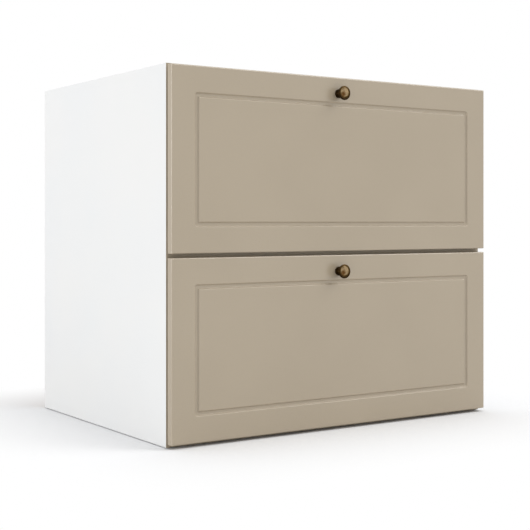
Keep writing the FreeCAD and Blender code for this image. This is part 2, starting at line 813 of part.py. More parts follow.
def drawer_box(drawer, box_low, box_height, front_holes, rail_holes):
    """The five boards of a drawer box and the screws that hold its corners."""
    screw_spots = box_screw_spots(box_low, box_height)
    corner_holes = screw_set(f"{drawer}_box_screws", screw_spots, "box_screw_length")
    bottom_groove = box_bottom_block(f"{drawer}_bottom_groove", box_low, "fit_clearance")
    thickness = "box_board_thickness"
    for name, x in (("left", f"-{BOX_HALF}"), ("right", BOX_INNER_HALF)):
        board = block(f"{drawer}_{name}_board", (x, FRONT_BACK, box_low), (thickness, BOX_LENGTH, box_height))
        side = cut(f"{drawer}_{name}_side", board, [bottom_groove, corner_holes, rail_holes])
        sub_part(side, f"{drawer}_box_{name}_side")
    for name, y in (("front", FRONT_BACK), ("back", f"{RAIL_REAR} - {thickness}")):
        low = (f"-{BOX_INNER_HALF}", y, box_low)
        board = block(f"{drawer}_{name}_board", low, (f"2 * {BOX_INNER_HALF}", thickness, box_height))
        end = cut(f"{drawer}_{name}_end", board, [bottom_groove, corner_holes, front_holes])
        sub_part(end, f"{drawer}_box_{name}")
    sub_part(box_bottom_block(f"{drawer}_bottom_board", box_low, "0"), f"{drawer}_box_bottom")


def drawer_unit(drawer, front_low, front_height, sections, rail_low):
    """One whole drawer: its front, knob, box, pads and the moving pieces of its runners."""
    box_low = f"({front_low} + box_rise)"
    box_height = f"({front_height} - box_rise - box_headroom)"
    knob_hole = knob_and_screw(drawer, f"({front_low} + {front_height})")
    front_spots = front_screw_spots(box_low, box_height)
    front_holes = screw_set(f"{drawer}_front_screws", front_spots, "box_board_thickness + front_screw_bite")

    body = front_panel(drawer, front_height)
    body.Placement = Placement(Vector(), HALF_TURN)
    put(body, f"{FRONT_WIDTH} / 2", FRONT_BACK, front_low)
    sub_part(cut(f"{drawer}_front_drilled", body, [knob_hole, front_holes]), f"{drawer}_front")

    rail_holes = drawer_rails(drawer, sections, rail_low)
    drawer_box(drawer, box_low, box_height, front_holes, rail_holes)
    bumper_pads(drawer, front_low, front_height)
    cages(drawer, sections, rail_low)


def check_document():
    """Stop if any object failed or any finished piece has no sound solid."""
    for item in doc.Objects:
        if "Invalid" in item.State or "Error" in item.State:
            raise RuntimeError(f"{item.Label} failed: {item.State}")
    for item in sub_parts:
        if item.Shape.isNull() or not item.Shape.isValid() or not item.Shape.Solids:
            raise RuntimeError(f"{item.Label} has no sound solid")


def write_parts():
    """Write every finished piece to its own file."""
    os.makedirs("parts", exist_ok=True)
    for item in sub_parts:
        item.Shape.exportStep(f"parts/{item.Label}.step")
        print(f"{item.Label}: {len(item.Shape.Solids)} solids, {item.Shape.Volume / 1000:.2f} cm3")
    print(f"{len(sub_parts)} pieces written")


fill_sheet()
drawers = {
    "upper": (UPPER_FRONT_LOW, UPPER_FRONT_HEIGHT),
    "lower": ("front_bottom_reveal", LOWER_FRONT_HEIGHT),
}
runner_lows = {
    drawer: f"({front_low} + box_rise + rail_rise - rail_height / 2)"
    for drawer, (front_low, _) in drawers.items()
}
rail_sections = runner_sections()
carcass(cabinet_rails(rail_sections, runner_lows))
for drawer, (front_low, front_height) in drawers.items():
    drawer_unit(drawer, front_low, front_height, rail_sections, runner_lows[drawer])
doc.recompute()
check_document()
write_parts()
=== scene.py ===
# %% [markdown]
# # Dressing a drawer base cabinet
# This is a kitchen base unit with two wide drawers. It has a white board carcass, taupe fronts with
# a routed groove, and one small antique brass knob on each front. The boards, rails, balls and
# screws come from the cabinet's drawing, at their real size and in their real place. This lesson
# gives them their surfaces, and remakes as meshes the pieces whose soft edges and fine turning the
# drawing leaves plain.

# %% Open the drawing
import json
import math
from collections import namedtuple

import bmesh
import bpy
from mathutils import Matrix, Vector

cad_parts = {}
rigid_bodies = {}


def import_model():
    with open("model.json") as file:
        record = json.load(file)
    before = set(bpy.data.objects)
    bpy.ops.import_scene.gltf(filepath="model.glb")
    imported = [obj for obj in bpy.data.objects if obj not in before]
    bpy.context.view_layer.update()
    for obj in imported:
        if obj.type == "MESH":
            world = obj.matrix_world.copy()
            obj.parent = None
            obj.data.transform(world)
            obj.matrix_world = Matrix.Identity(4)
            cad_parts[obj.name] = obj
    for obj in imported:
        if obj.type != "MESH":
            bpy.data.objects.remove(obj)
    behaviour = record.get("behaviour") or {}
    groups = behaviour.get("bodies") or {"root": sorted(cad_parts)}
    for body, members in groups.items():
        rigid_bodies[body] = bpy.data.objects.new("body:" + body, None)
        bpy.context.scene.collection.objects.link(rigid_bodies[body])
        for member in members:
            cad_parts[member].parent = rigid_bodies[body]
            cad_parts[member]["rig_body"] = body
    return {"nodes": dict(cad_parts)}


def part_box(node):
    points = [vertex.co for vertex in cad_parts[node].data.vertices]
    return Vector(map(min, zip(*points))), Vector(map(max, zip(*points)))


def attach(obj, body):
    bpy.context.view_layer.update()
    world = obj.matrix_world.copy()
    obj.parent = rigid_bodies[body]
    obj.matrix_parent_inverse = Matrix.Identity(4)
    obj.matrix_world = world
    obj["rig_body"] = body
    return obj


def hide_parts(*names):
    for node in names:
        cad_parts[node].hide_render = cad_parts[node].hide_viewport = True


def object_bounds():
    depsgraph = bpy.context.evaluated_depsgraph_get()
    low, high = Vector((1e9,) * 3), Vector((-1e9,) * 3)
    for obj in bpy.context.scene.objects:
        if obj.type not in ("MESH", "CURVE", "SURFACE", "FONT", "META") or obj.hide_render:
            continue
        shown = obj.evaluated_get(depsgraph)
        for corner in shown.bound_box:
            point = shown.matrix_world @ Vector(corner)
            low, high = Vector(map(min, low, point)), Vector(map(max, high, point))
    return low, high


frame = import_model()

MM = 0.001
drawing_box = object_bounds()
nodes = frame["nodes"]
DRAWERS = ("upper", "lower")

# %% [markdown]
# ## The camera
# Upright edges stay parallel in the picture, so the camera is level and its lens is shifted down a
# little, as a furniture photographer would do. Aiming the camera down instead would make the
# uprights lean. The place and the lens were worked out from the cabinet's own edges and their
# vanishing points.

# %% Set up the camera
PICTURE_SIDE = 530
FOCAL_PIXELS = 1152.4
HORIZON_ROW = 221.54
CAMERA_PLACE = Vector((-1.4446, -2.1764, 0.4231))
CAMERA_TURN = math.radians(33.815)
SENSOR = 36.0


def set_up_camera():
    """A level camera left of the cabinet, shifted so that the horizon falls on its own row."""
    lens = bpy.data.cameras.new("camera")
    lens.sensor_width = SENSOR
    lens.lens = SENSOR * FOCAL_PIXELS / PICTURE_SIDE
    lens.shift_y = (HORIZON_ROW - PICTURE_SIDE / 2) / PICTURE_SIDE
    camera = bpy.data.objects.new("camera", lens)
    camera.location = CAMERA_PLACE
    camera.rotation_euler = (math.pi / 2, 0, -CAMERA_TURN)
    bpy.context.scene.collection.objects.link(camera)
    bpy.context.scene.camera = camera
    return lens


lens = set_up_camera()
print(f"lens {lens.lens:.1f} mm, shift {lens.shift_y:.3f}")

# %% [markdown]
# ## Small tools for wiring finishes
# Every finish here is a small tree of nodes. The same few moves come back each time: add a node and
# fill its inputs, make a cloudy pattern of a real size, turn a pattern into colours or into a range
# of numbers. Writing them once keeps each finish short, and a pattern's size can be given in
# millimetres.

# %% Tools for finishes
COLOUR_A, COLOUR_B, COLOUR_OUT = 6, 7, 2
NUMBER_A, NUMBER_B, NUMBER_OUT = 2, 3, 0


def linear(share):
    """One channel of a screen colour, 0 to 1, as linear light by the sRGB rule."""
    return share / 12.92 if share < 0.04045 else ((share + 0.055) / 1.055) ** 2.4


def swatch(red, green, blue):
    """A colour as a screen shows it, 0 to 255, turned into the linear light that shaders use."""
    return (*[linear(value / 255) for value in (red, green, blue)], 1.0)


def add(tree, kind, inputs=None, **options):
    """Add a shader node, set its options, and fill or wire its inputs."""
    node = tree.nodes.new(f"ShaderNode{kind}")
    for option, value in options.items():
        setattr(node, option, value)
    for key, value in (inputs or {}).items():
        if isinstance(value, bpy.types.NodeSocket):
            tree.links.new(value, node.inputs[key])
        else:
            node.inputs[key].default_value = value
    return node


def sum_up(tree, operation, *terms):
    """One arithmetic step on numbers or other patterns."""
    return add(tree, "Math", dict(enumerate(terms)), operation=operation).outputs[0]


def place(tree, squeeze=(1, 1, 1)):
    """The point on the piece in metres; a squeeze under 1 draws the pattern out along that axis."""
    point = add(tree, "TexCoord").outputs["Object"]
    return add(tree, "VectorMath", {0: point, 1: squeeze}, operation="MULTIPLY").outputs[0]


def clouds(tree, size, detail=2.0, squeeze=(1, 1, 1)):
    """A soft random pattern from 0 to 1 whose patches are about that size."""
    inputs = {"Vector": place(tree, squeeze), "Scale": 1 / size, "Detail": detail}
    return add(tree, "TexNoise", inputs).outputs["Fac"]


def spread(tree, pattern, low, high, start=0.3, end=0.7):
    """Stretch a pattern so that it runs from low to high."""
    inputs = {"Value": pattern, "From Min": start, "From Max": end, "To Min": low, "To Max": high}
    return add(tree, "MapRange", inputs).outputs["Result"]


def tint(tree, pattern, stops):
    """Turn a pattern from 0 to 1 into colours, from (position, colour) stops."""
    ramp = add(tree, "ValToRGB", {"Fac": pattern})
    marks = ramp.color_ramp.elements
    while len(marks) < len(stops):
        marks.new(1.0)
    for mark, (position, colour) in zip(marks, stops):
        mark.position = position
        mark.color = colour
    return ramp.outputs["Color"]


def mix_colours(tree, share, first, second):
    """From the first colour at share 0 to the second at share 1."""
    inputs = {0: share, COLOUR_A: first, COLOUR_B: second}
    return add(tree, "Mix", inputs, data_type="RGBA").outputs[COLOUR_OUT]


def mix_numbers(tree, share, first, second):
    """From the first number at share 0 to the second at share 1."""
    return add(tree, "Mix", {0: share, NUMBER_A: first, NUMBER_B: second}).outputs[NUMBER_OUT]


print("tools for finishes ready")

# %% [markdown]
# ## Skins
# A board shows several materials at once: white paper on its faces and bare chips on the edge that
# nobody sees. So the lesson first makes skins, each with a colour, a roughness and a height in
# metres, and a finish is one skin or two that change over by the way the surface faces. Painting
# each face by hand would give the same picture, but a rule on direction needs no change to the
# drawing's meshes.

# %% Skins and how a finish wears them
Skin = namedtuple("Skin", "colour roughness height")
FACING_SHARE = 0.7


def new_finish(name):
    """A fresh material, its node tree and its main shader."""
    finish = bpy.data.materials.new(name)
    finish.use_nodes = True
    return finish, finish.node_tree, finish.node_tree.nodes["Principled BSDF"]


def wear(tree, shader, skin):
    """Wire a skin into the shader: its colour, its roughness and its relief."""
    tree.links.new(skin.colour, shader.inputs["Base Color"])
    tree.links.new(skin.roughness, shader.inputs["Roughness"])
    relief = add(tree, "Bump", {"Height": skin.height, "Distance": 1.0})
    tree.links.new(relief.outputs["Normal"], shader.inputs["Normal"])


def facing(tree, directions):
    """1 where the surface faces one of the directions, 0 elsewhere."""
    normal = add(tree, "TexCoord").outputs["Normal"]
    share = 0.0
    for direction in directions:
        turn = add(tree, "VectorMath", {0: normal, 1: direction}, operation="DOT_PRODUCT")
        faces = sum_up(tree, "GREATER_THAN", turn.outputs["Value"], FACING_SHARE)
        share = sum_up(tree, "MAXIMUM", share, faces)
    return share


def change_over(tree, share, first, second):
    """The first skin where share is 0 and the second where it is 1."""
    return Skin(
        mix_colours(tree, share, first.colour, second.colour),
        mix_numbers(tree, share, first.roughness, second.roughness),
        mix_numbers(tree, share, first.height, second.height),
    )


print("skins ready")

# %% [markdown]
# ## The studio
# The cabinet stands in a bright white room, so most of its light is even and comes from the world.
# Three far lamps shape it. One from the upper right throws the faint shadow to the lower left of
# each knob and draws the bright line along the lower front's top edge. A wide one overhead puts the
# dark line under each upper rim of a groove. The third stands low on the left, almost in the plane
# of the fronts: it lights the white side and catches the rounded left edges, but only grazes the
# faces and misses the grooves.

# %% Light the studio
ROOM_LIGHT = 0.70
LAMP_DISTANCE = 4.0
WHITE = (1.0, 1.0, 1.0, 1.0)


def light_room():
    """An even world, pure white wherever it is looked at or mirrored."""
    world = bpy.data.worlds.new("studio")
    world.use_nodes = True
    tree = world.node_tree
    tree.nodes.clear()
    rays = add(tree, "LightPath").outputs
    mirrored = sum_up(tree, "MAXIMUM", rays["Is Glossy Ray"], rays["Is Transmission Ray"])
    looked_at = sum_up(tree, "MAXIMUM", rays["Is Camera Ray"], mirrored)
    even = add(tree, "Background", {"Color": WHITE, "Strength": ROOM_LIGHT})
    pure = add(tree, "Background", {"Color": WHITE, "Strength": 1.0})
    both = add(tree, "MixShader", {0: looked_at, 1: even.outputs[0], 2: pure.outputs[0]})
    add(tree, "OutputWorld", {"Surface": both.outputs[0]})
    bpy.context.scene.world = world


def far_lamp(name, turn, rise, strength, softness):
    """A far lamp: its turn to the right of straight ahead, its rise above the floor, in degrees."""
    lamp = bpy.data.lights.new(name, "SUN")
    lamp.energy = strength
    lamp.angle = math.radians(softness)
    turn, rise = math.radians(turn), math.radians(rise)
    level = math.cos(rise)
    from_there = Vector((math.sin(turn) * level, -math.cos(turn) * level, math.sin(rise)))
    holder = bpy.data.objects.new(name, lamp)
    holder.rotation_mode = "QUATERNION"
    holder.rotation_quaternion = (-from_there).to_track_quat("-Z", "Y")
    holder.location = LAMP_DISTANCE * from_there
    bpy.context.scene.collection.objects.link(holder)


light_room()
far_lamp("right_lamp", 54, 41, 1.2, 34)
far_lamp("left_lamp", -86, 4, 0.95, 10)
far_lamp("overhead_lamp", 180, 84, 0.85, 50)
view = bpy.context.scene.view_settings
view.view_transform = "Standard"
print(f"room light {ROOM_LIGHT}, 3 lamps, view {view.view_transform}")

# %% [markdown]
# ## The floor
# The floor is a wide white sheet. Close to the cabinet it is an ordinary white surface, so the soft
# shadow round the foot is real. Further out it gives way to the pure white of the room, but only
# for the camera: the cabinet itself is still lit by an ordinary floor, and no horizon shows. The
# distance is measured from the cabinet's own outline, so the change runs evenly round it. No
# cabinet stands dead flat, and a hairline of shadow shows along the foot of its white side, so the
# sheet lies a little lower than the boards.

# %% Lay the floor
FLOOR_REACH = 40.0
FLOOR_WHITE = (0.805, 0.81, 0.82, 1.0)
FLOOR_DROP = 1.5 * MM
FLOOR_ROUGHNESS = 0.9
SHADOW_REACH = 0.32


def distance_from(tree, low, high):
    """How far a point of the floor is from a box that stands on it."""
    middle = (low + high) / 2
    half = (high - low) / 2
    point = add(tree, "TexCoord").outputs["Object"]
    offset = add(tree, "VectorMath", {0: point, 1: middle}, operation="SUBTRACT").outputs[0]
    offset = add(tree, "VectorMath", {0: offset}, operation="ABSOLUTE").outputs[0]
    past = add(tree, "VectorMath", {0: offset, 1: half}, operation="SUBTRACT").outputs[0]
    past = add(tree, "VectorMath", {0: past, 1: (0, 0, 0)}, operation="MAXIMUM").outputs[0]
    flat = add(tree, "VectorMath", {0: past, 1: (1, 1, 0)}, operation="MULTIPLY").outputs[0]
    return add(tree, "VectorMath", {0: flat}, operation="LENGTH").outputs["Value"]


def floor_finish():
    """White near the cabinet, and pure white to the camera further out."""
    finish, tree, shader = new_finish("floor_white")
    shader.inputs["Base Color"].default_value = FLOOR_WHITE
    shader.inputs["Roughness"].default_value = FLOOR_ROUGHNESS
    shader.inputs["Specular IOR Level"].default_value = 0.0
    seen = add(tree, "LightPath").outputs["Is Camera Ray"]
    away = spread(tree, distance_from(tree, *drawing_box), 0, 1, start=0, end=SHADOW_REACH)
    pure = add(tree, "Emission", {"Color": WHITE, "Strength": 1.0}).outputs[0]
    inputs = {0: sum_up(tree, "MULTIPLY", seen, away), 1: shader.outputs[0], 2: pure}
    both = add(tree, "MixShader", inputs)
    tree.links.new(both.outputs[0], tree.nodes["Material Output"].inputs["Surface"])
    return finish


def lay_floor():
    """A flat square under the cabinet."""
    corners = [(x, y, 0) for x, y in ((-1, -1), (1, -1), (1, 1), (-1, 1))]
    sheet = bpy.data.meshes.new("floor")
    sheet.from_pydata([Vector(corner) * FLOOR_REACH for corner in corners], [], [(0, 1, 2, 3)])
    sheet.materials.append(floor_finish())
    floor = bpy.data.objects.new("floor", sheet)
    floor.location.z = -FLOOR_DROP
    bpy.context.scene.collection.objects.link(floor)


lay_floor()
print(f"floor {2 * FLOOR_REACH:.0f} m across")

# %% [markdown]
# ## Taupe foil
# The fronts are fibreboard wrapped in a thin satin foil, which is why the groove and the edges are
# soft. The foil is one even colour under a clear satin lacquer, so it mirrors a little more than
# bare plastic, and that is what draws the bright lines on its rounded edges. Two close shades drift
# into each other over a hand's width, and pores under a millimetre break the gloss.

# %% The foil of the fronts
TAUPE_DEEP = swatch(164, 150, 128)
TAUPE_PALE = swatch(166, 152, 130)


def foil_skin(tree):
    """Satin taupe foil."""
    drift = clouds(tree, 160 * MM, detail=1)
    pores = clouds(tree, 0.8 * MM, detail=3)
    return Skin(
        tint(tree, drift, [(0.35, TAUPE_DEEP), (0.65, TAUPE_PALE)]),
        spread(tree, pores, 0.27, 0.35),
        sum_up(tree, "MULTIPLY", pores, 0.008 * MM),
    )


taupe_foil, tree, shader = new_finish("taupe_foil")
shader.inputs["Specular IOR Level"].default_value = 1.0
wear(tree, shader, foil_skin(tree))
print("made", taupe_foil.name)

# %% [markdown]
# ## White boards and bare chipboard
# The carcass is chipboard under white melamine paper, pressed with a pearl texture so that it
# doesn't show fingerprints. Where an edge gets no band, such as the rear edges, the chips show.
# Voronoi cells suit both: their smooth distance makes the pearl, and their random colour makes the
# chips. The press lays the chips flat, so each board says which way it is thin and its chips are
# drawn out in the other two.

# %% Board skins
BOARD_WHITE = swatch(227, 227, 226)
BOARD_COOL = swatch(225, 226, 226)
CHIP_DARK = swatch(132, 98, 62)
CHIP_MIDDLE = swatch(180, 144, 102)
CHIP_PALE = swatch(208, 178, 136)
CHIP_THICKNESS = 1.3 * MM
CHIP_DRAW = 0.32


def melamine_skin(tree):
    """White melamine paper with a fine pearl texture."""
    drift = clouds(tree, 220 * MM)
    inputs = {"Vector": place(tree), "Scale": 1 / (1.4 * MM), "Smoothness": 1.0}
    pearl = add(tree, "TexVoronoi", inputs, feature="SMOOTH_F1").outputs["Distance"]
    return Skin(
        tint(tree, drift, [(0.35, BOARD_COOL), (0.65, BOARD_WHITE)]),
        spread(tree, pearl, 0.46, 0.56, start=0.0, end=0.8),
        sum_up(tree, "MULTIPLY", pearl, 0.010 * MM),
    )


def chipboard_skin(tree, thin):
    """Pressed wood chips, as a saw leaves them, on a board that is thin along one axis."""
    squeeze = [1 if axis == thin else CHIP_DRAW for axis in (X_AXIS, Y_AXIS, Z_AXIS)]
    inputs = {"Vector": place(tree, squeeze), "Scale": 1 / CHIP_THICKNESS}
    chips = add(tree, "TexVoronoi", inputs).outputs
    shade = add(tree, "SeparateColor", {"Color": chips["Color"]}).outputs["Red"]
    dust = clouds(tree, 0.7 * MM, detail=4)
    return Skin(
        tint(
            tree,
            mix_numbers(tree, 0.35, shade, dust),
            [(0.1, CHIP_DARK), (0.45, CHIP_MIDDLE), (0.85, CHIP_PALE)],
        ),
        spread(tree, dust, 0.80, 0.95),
        sum_up(tree, "MULTIPLY", chips["Distance"], 0.12 * MM),
    )


def board_finish(name, thin, bare_directions):
    """Melamine on the faces, bare chips where the board faces one of the directions."""
    finish, tree, shader = new_finish(name)
    bare = facing(tree, bare_directions)
    wear(tree, shader, change_over(tree, bare, melamine_skin(tree), chipboard_skin(tree, thin)))
    return finish


X_AXIS, Y_AXIS, Z_AXIS = 0, 1, 2
REARWARD, FORWARD, DOWN = (0, 1, 0), (0, -1, 0), (0, 0, -1)
LEFTWARD, RIGHTWARD = (-1, 0, 0), (1, 0, 0)
upright_board = board_finish("upright_board", X_AXIS, [REARWARD])
level_board = board_finish("level_board", Z_AXIS, [REARWARD, FORWARD, LEFTWARD, RIGHTWARD])
box_side_board = board_finish("box_side_board", X_AXIS, [REARWARD, DOWN])
box_end_board = board_finish("box_end_board", Y_AXIS, [DOWN])
front_backing, tree, shader = new_finish("front_backing")
wear(tree, shader, melamine_skin(tree))
print("made 5 board finishes")

# %% [markdown]
# ## Edge bands and hardboard
# The front edges wear a thin plastic band in the colour of the fronts. That taupe on the edges is
# painted shade, so the gaps round a closed drawer look dark. The back and the drawer bottoms are
# hardboard: lacquered white on the side that is seen in use, bare brown fibre behind. Band and
# lacquer are the same smooth skin in two colours, and the fibre is a cloudy pattern drawn out
# sideways, with darker specks of bark in it.

# %% Band and hardboard finishes
FIBRE_DARK = swatch(98, 66, 40)
FIBRE_BROWN = swatch(138, 100, 66)
FIBRE_PALE = swatch(160, 122, 84)


def smooth_skin(tree, deep, pale):
    """Plastic or lacquer of two close shades with a faint orange peel."""
    peel = clouds(tree, 1.2 * MM)
    drift = clouds(tree, 90 * MM)
    return Skin(
        tint(tree, drift, [(0.35, deep), (0.65, pale)]),
        spread(tree, peel, 0.34, 0.42),
        sum_up(tree, "MULTIPLY", peel, 0.006 * MM),
    )


def fibre_skin(tree):
    """Bare hardboard: felted brown fibre."""
    fibres = clouds(tree, 3.0 * MM, detail=6, squeeze=(0.35, 1, 1))
    specks = clouds(tree, 1.1 * MM, detail=1)
    brown = tint(tree, fibres, [(0.3, FIBRE_BROWN), (0.7, FIBRE_PALE)])
    return Skin(
        mix_colours(tree, spread(tree, specks, 0, 1, start=0.66, end=0.74), brown, FIBRE_DARK),
        spread(tree, fibres, 0.70, 0.85),
        sum_up(tree, "MULTIPLY", fibres, 0.05 * MM),
    )


def hardboard_finish(name, bare_directions):
    """White lacquer, with bare fibre where the sheet faces one of the directions."""
    finish, tree, shader = new_finish(name)
    lacquer = smooth_skin(tree, BOARD_COOL, BOARD_WHITE)
    wear(tree, shader, change_over(tree, facing(tree, bare_directions), lacquer, fibre_skin(tree)))
    return finish


# Taupe band: painted shade for the gaps round the fronts.
edge_band_painted_shade, tree, shader = new_finish("edge_band_painted_shade")
wear(tree, shader, smooth_skin(tree, TAUPE_DEEP, TAUPE_PALE))
back_hardboard = hardboard_finish("back_hardboard", [REARWARD])
bottom_hardboard = hardboard_finish("bottom_hardboard", [DOWN])
print("made edge band and 2 hardboard finishes")

# %% [markdown]
# ## Plated steel
# Rails, screws and cams are zinc plated. Rolled rails carry faint lines along their length, while
# cast and turned fittings are cloudy. The bearing balls are polished bright. All three are metal,
# so their colour is the colour of what they mirror, and the roughness carries the detail.

# %% Steel finishes
ZINC_DULL = swatch(186, 187, 186)
ZINC_BRIGHT = swatch(214, 214, 210)
RAIL_DULL = swatch(192, 195, 198)
RAIL_BRIGHT = swatch(216, 218, 220)
BALL_GREY = swatch(212, 213, 216)
BALL_WHITE = swatch(226, 227, 229)


def metal_finish(name, colours, roughness, pattern_size, depth, squeeze=(1, 1, 1)):
    """A metal whose shade and gloss follow one cloudy pattern."""
    finish, tree, shader = new_finish(name)
    pattern = clouds(tree, pattern_size, detail=4, squeeze=squeeze)
    shader.inputs["Metallic"].default_value = 1.0
    skin = Skin(
        tint(tree, pattern, [(0.3, colours[0]), (0.7, colours[1])]),
        spread(tree, pattern, *roughness),
        sum_up(tree, "MULTIPLY", pattern, depth),
    )
    wear(tree, shader, skin)
    return finish


LENGTHWISE = (1, 0.02, 1)
zinc = metal_finish("zinc", (ZINC_DULL, ZINC_BRIGHT), (0.30, 0.42), 2.5 * MM, 0.006 * MM)
rail_steel = metal_finish(
    "rail_steel", (RAIL_DULL, RAIL_BRIGHT), (0.26, 0.36), 1.2 * MM, 0.001 * MM, LENGTHWISE
)
ball_steel = metal_finish(
    "ball_steel", (BALL_GREY, BALL_WHITE), (0.06, 0.12), 1.0 * MM, 0.0005 * MM
)
print("made zinc, rail and ball steel")

# %% [markdown]
# ## Beech dowels and soft pads
# Dowels hide in the corners, but anyone who takes the boards apart sees beech. Its grain runs along
# the dowel. The little pads behind the fronts are soft milky plastic. Only part of the light goes
# through them: a fully clear pad would show the unlit board under it and look black.

# %% Beech and milky plastic
BEECH_PALE = swatch(214, 178, 134)
BEECH_DEEP = swatch(186, 142, 98)
PAD_CLEAR = swatch(240, 242, 240)
PAD_MILKY = swatch(226, 230, 228)
CROSSWISE = (0.06, 1, 1)


def beech_finish():
    """Pale beech with its grain along the dowel."""
    finish, tree, shader = new_finish("beech_wood")
    grain = clouds(tree, 1.0 * MM, detail=5, squeeze=CROSSWISE)
    skin = Skin(
        tint(tree, grain, [(0.3, BEECH_DEEP), (0.7, BEECH_PALE)]),
        spread(tree, grain, 0.55, 0.70),
        sum_up(tree, "MULTIPLY", grain, 0.03 * MM),
    )
    wear(tree, shader, skin)
    return finish


def pad_finish():
    """Soft milky plastic that lets some light through."""
    finish, tree, shader = new_finish("pad_plastic")
    milk = clouds(tree, 2.0 * MM)
    shader.inputs["Transmission Weight"].default_value = 0.25
    shader.inputs["IOR"].default_value = 1.45
    skin = Skin(
        tint(tree, milk, [(0.3, PAD_MILKY), (0.7, PAD_CLEAR)]),
        spread(tree, milk, 0.16, 0.28),
        sum_up(tree, "MULTIPLY", milk, 0.01 * MM),
    )
    wear(tree, shader, skin)
    return finish


beech_wood = beech_finish()
pad_plastic = pad_finish()
print("made beech and pad plastic")

# %% [markdown]
# ## Antique brass
# The knobs are brass that was darkened and then rubbed back. The rubbing cloth reaches the face and
# the crown of the bead, and the neck stays nearly black. The rubbed patch is measured from a point
# above the knob's own axis, so the dark is thin at the top and thick at the bottom: painted shade.
# A brown patch low on the left of the face is painted shade too, and small stains break up
# everything.

# %% The finish of the knobs
PATINA = swatch(46, 32, 14)
BRASS_DARK = swatch(104, 82, 46)
# Brown for the painted shade low on the left of the face.
SHADE_CORE_BROWN = swatch(108, 76, 42)
BRASS_RUBBED = swatch(170, 146, 110)
KNOB_RADIUS = 14.4 * MM
FACE_START = 19.4 * MM
# Above the knob's axis, so the bottom of the rubbed patch gets painted shade.
RUB_AND_SHADE_MIDDLE = (-0.4 * MM, 0, 2.0 * MM)
# A brown patch low on the left of the face: painted shade.
SHADE_CORE_MIDDLE = (-4.0 * MM, 0, -2.5 * MM)
SHADE_CORE_REACH = (3 * MM, 7 * MM)


def reach_from(tree, middle):
    """How far a point of the knob is from a middle, seen along the knob's axis."""
    point = add(tree, "TexCoord").outputs["Object"]
    offset = add(tree, "VectorMath", {0: point, 1: middle}, operation="SUBTRACT").outputs[0]
    flat = add(tree, "VectorMath", {0: offset, 1: (1, 0, 1)}, operation="MULTIPLY").outputs[0]
    return add(tree, "VectorMath", {0: flat}, operation="LENGTH").outputs["Value"]


def brass_finish():
    """Darkened brass, rubbed back on the face, with painted shade low on it."""
    finish, tree, shader = new_finish("antique_brass")
    shader.inputs["Metallic"].default_value = 1.0
    stains = clouds(tree, 3.6 * MM, detail=4)
    # Rubbed face and dark bead, shifted down so the bottom carries painted shade.
    rub_and_shade = tint(
        tree,
        sum_up(tree, "DIVIDE", reach_from(tree, RUB_AND_SHADE_MIDDLE), KNOB_RADIUS),
        [(0.50, BRASS_RUBBED), (0.62, BRASS_RUBBED), (0.70, BRASS_DARK), (0.95, PATINA)],
    )
    # Painted shade: brown low on the left of the face.
    shade_core = spread(tree, reach_from(tree, SHADE_CORE_MIDDLE), 1, 0, *SHADE_CORE_REACH)
    point = add(tree, "TexCoord").outputs["Object"]
    forward = sum_up(tree, "MULTIPLY", add(tree, "SeparateXYZ", {0: point}).outputs["Y"], -1.0)
    on_face = sum_up(tree, "GREATER_THAN", forward, FACE_START)
    rubbed = sum_up(tree, "MULTIPLY", on_face, spread(tree, stains, 0.45, 1.0))
    skin = Skin(
        mix_colours(tree, rubbed, PATINA, mix_colours(tree, shade_core, rub_and_shade, SHADE_CORE_BROWN)),
        spread(tree, stains, 0.30, 0.46),
        sum_up(tree, "MULTIPLY", stains, 0.02 * MM),
    )
    wear(tree, shader, skin)
    return finish


antique_brass = brass_finish()
print("made", antique_brass.name)

# %% [markdown]
# ## One way to make every soft piece
# A front, a knob, a screw and a pad look very different, yet each is a stack of rings joined by
# quads: rounded rectangles for a front, circles for anything turned. So one tool lofts rings into a
# closed shell, and another eases the corners of an outline with true arcs. Bevelling boxes and
# cylinders afterwards would give less say over where each edge of the mesh falls.

# %% Tools for shells
SHARP_EDGE = math.radians(38)


def eased(corners, steps=6):
    """Points of an outline of (across, along, radius) corners, with an arc at each corner."""
    outline = []
    for index, (across, along, radius) in enumerate(corners):
        corner = Vector((across, along))
        if radius == 0:
            outline.append(corner)
            continue
        back = (Vector(corners[index - 1][:2]) - corner).normalized()
        ahead = (Vector(corners[index + 1][:2]) - corner).normalized()
        half = back.angle(ahead) / 2
        centre = corner + (back + ahead).normalized() * (radius / math.sin(half))
        reach = radius / math.tan(half)
        start = (corner + back * reach - centre).normalized()
        end = (corner + ahead * reach - centre).normalized()
        outline += [centre + radius * start.slerp(end, step / steps) for step in range(steps + 1)]
    return outline


def loft(shell, rings):
    """Join rings of equally many points with quads and close both ends."""
    loops = [[shell.verts.new(point) for point in ring] for ring in rings]
    count = len(loops[0])
    for near, far in zip(loops, loops[1:]):
        for here in range(count):
            there = (here + 1) % count
            shell.faces.new((near[here], near[there], far[there], far[here]))
    shell.faces.new(list(reversed(loops[0])))
    shell.faces.new(loops[-1])


def finish_mesh(shell, name, finishes):
    """Turn a shell into a mesh with smooth faces and crisp corners."""
    bmesh.ops.recalc_face_normals(shell, faces=shell.faces)
    mesh = bpy.data.meshes.new(name)
    shell.to_mesh(mesh)
    shell.free()
    mesh.shade_smooth()
    mesh.set_sharp_from_angle(angle=SHARP_EDGE)
    for finish in finishes:
        mesh.materials.append(finish)
    return mesh


def keep_flats_even(piece):
    """Let the large faces set the shading, so that flats look flat up to their rounded edges."""
    even = piece.modifiers.new("even_flats", "WEIGHTED_NORMAL")
    even.keep_sharp = True


def stand_in(name, mesh, node, place=(0, 0, 0)):
    """Put a new piece where a drawn one is, riding on the same body and shown in its stead."""
    piece = bpy.data.objects.new(name, mesh)
    piece.location = place
    bpy.context.scene.collection.objects.link(piece)
    keep_flats_even(piece)
    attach(piece, nodes[node]["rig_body"])
    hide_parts(node)
    return piece


